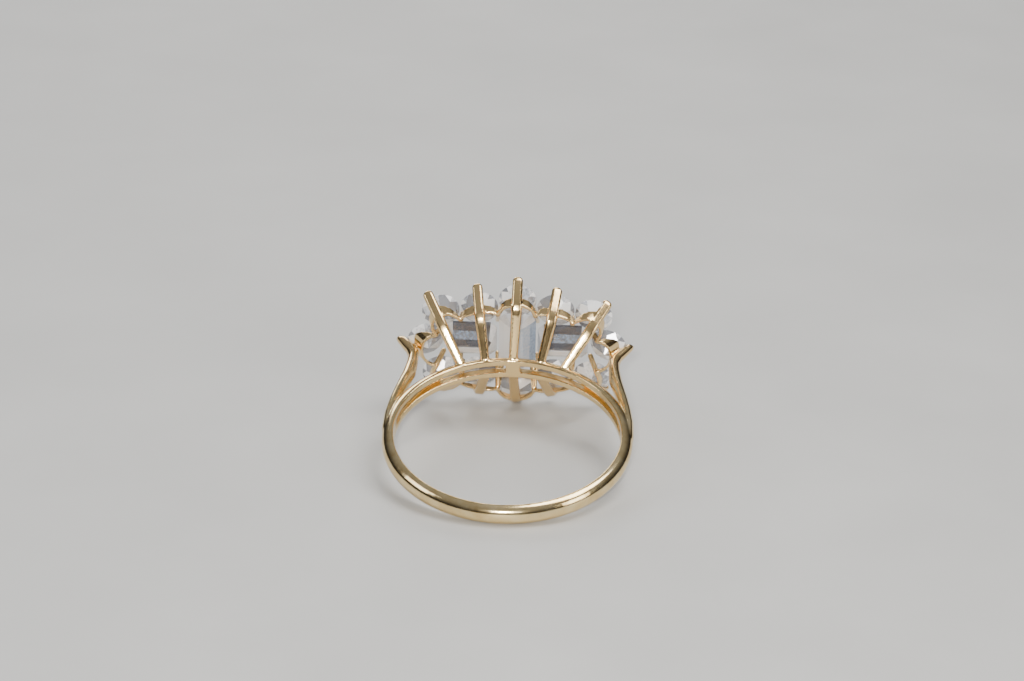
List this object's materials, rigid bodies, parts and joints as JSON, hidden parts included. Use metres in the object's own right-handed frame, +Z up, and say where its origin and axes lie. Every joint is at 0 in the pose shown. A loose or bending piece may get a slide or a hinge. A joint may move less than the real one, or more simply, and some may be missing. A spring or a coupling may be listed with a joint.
{
  "type": "cluster ring",
  "caption": "Gold cluster ring lying on its side: pierced bridge, claw arms, a chain of round stones and a middle row of step-cut stones.",
  "frame": {"origin": "middle of the box on the plane it rests on; the ring lies on its side", "axes": "+Z up; +Y away from the viewer, from the back of the band towards the head, along the rest plane; +X to the right across the finger"},
  "size_m": [0.0192, 0.023, 0.0117],
  "materials": {
    "gold": "polished pale yellow gold",
    "stone": "clear, facet-cut and polished"
  },
  "bodies": {
    "root": {"mount": "gold", "centre_stone": "stone", "side_stone_left": "stone", "side_stone_right": "stone", "round_stone_1": "stone", "round_stone_2": "stone", "round_stone_3": "stone", "round_stone_4": "stone", "round_stone_5": "stone", "round_stone_6": "stone", "round_stone_7": "stone", "round_stone_8": "stone", "round_stone_9": "stone", "round_stone_10": "stone", "round_stone_11": "stone", "round_stone_12": "stone"}
  },
  "joints": []
}
